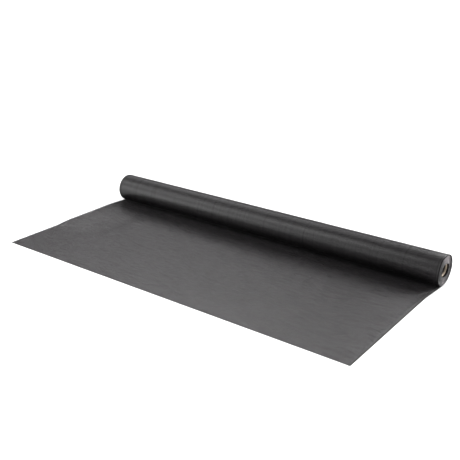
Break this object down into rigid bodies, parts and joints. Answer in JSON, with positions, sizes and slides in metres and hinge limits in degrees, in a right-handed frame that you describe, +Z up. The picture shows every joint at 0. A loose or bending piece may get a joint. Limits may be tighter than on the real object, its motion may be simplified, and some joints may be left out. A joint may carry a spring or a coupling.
{
  "type": "roll of insect screen mesh",
  "caption": "Charcoal woven screen cloth wound on an open paperboard core, lying on the floor with its loose end laid out flat in front.",
  "frame": {"origin": "on the floor, below the middle of the whole part's box", "axes": "+X along the roll towards the end whose outer lap stands out furthest, +Y from the loose end's cut edge to the roll, +Z up"},
  "size_m": [0.9234, 0.432, 0.07],
  "materials": {
    "charcoal_mesh": "vinyl-coated open weave, satin, dark grey",
    "kraft_board": "matt greyish-brown paperboard, spirally wound"
  },
  "bodies": {
    "root": {"screen_mesh": "charcoal_mesh", "core_tube": "kraft_board"}
  },
  "joints": []
}
